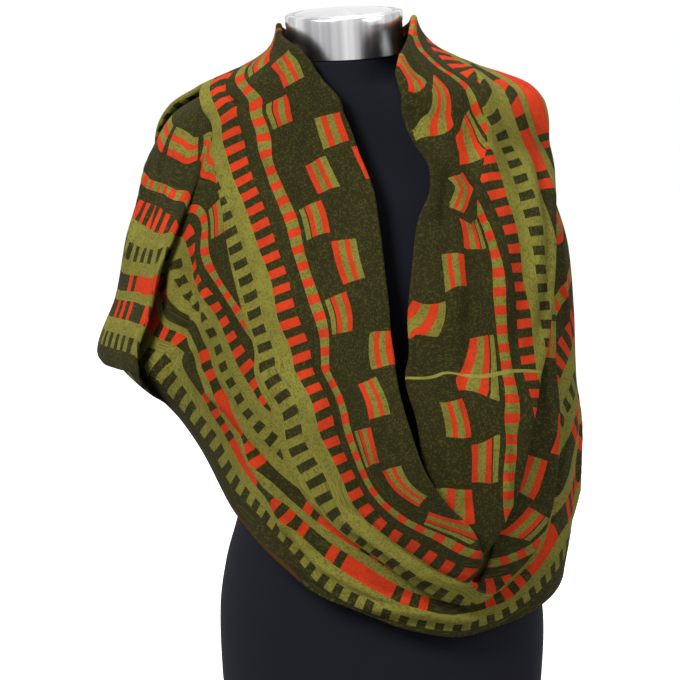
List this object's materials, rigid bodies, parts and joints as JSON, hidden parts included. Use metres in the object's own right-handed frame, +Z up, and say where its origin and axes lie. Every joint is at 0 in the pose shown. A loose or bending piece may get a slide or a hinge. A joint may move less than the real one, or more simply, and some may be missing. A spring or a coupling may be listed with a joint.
{
  "type": "infinity scarf on a limbless dress form",
  "caption": "Jacquard knit infinity scarf wound twice as a cowl and shawl over a limbless torso dress form with a metal neck cap.",
  "frame": {"origin": "middle of the flat rest face under the dress form's base", "axes": "+Z up, -Y towards the viewer of the front, +X to the viewer's right; the form faces about 25 degrees to the viewer's left"},
  "size_m": [0.4928, 0.3963, 0.7436],
  "materials": {
    "knit": "matte jacquard knit in dark olive, light olive and orange",
    "jersey": "fine matte jersey",
    "base_board": "matte",
    "cap_metal": "brushed round the band",
    "lid_metal": "satin"
  },
  "bodies": {
    "root": {"form_torso": "jersey", "form_base": "base_board", "form_neck_cap": "cap_metal", "form_cap_lid": "lid_metal", "scarf_lower_back_left": "knit", "scarf_lower_left": "knit", "scarf_lower_front": "knit", "scarf_lower_right": "knit", "scarf_lower_back": "knit", "scarf_right_flap": "knit", "scarf_upper_back": "knit", "scarf_upper_left": "knit", "scarf_upper_cowl": "knit", "scarf_upper_right": "knit"}
  },
  "joints": []
}
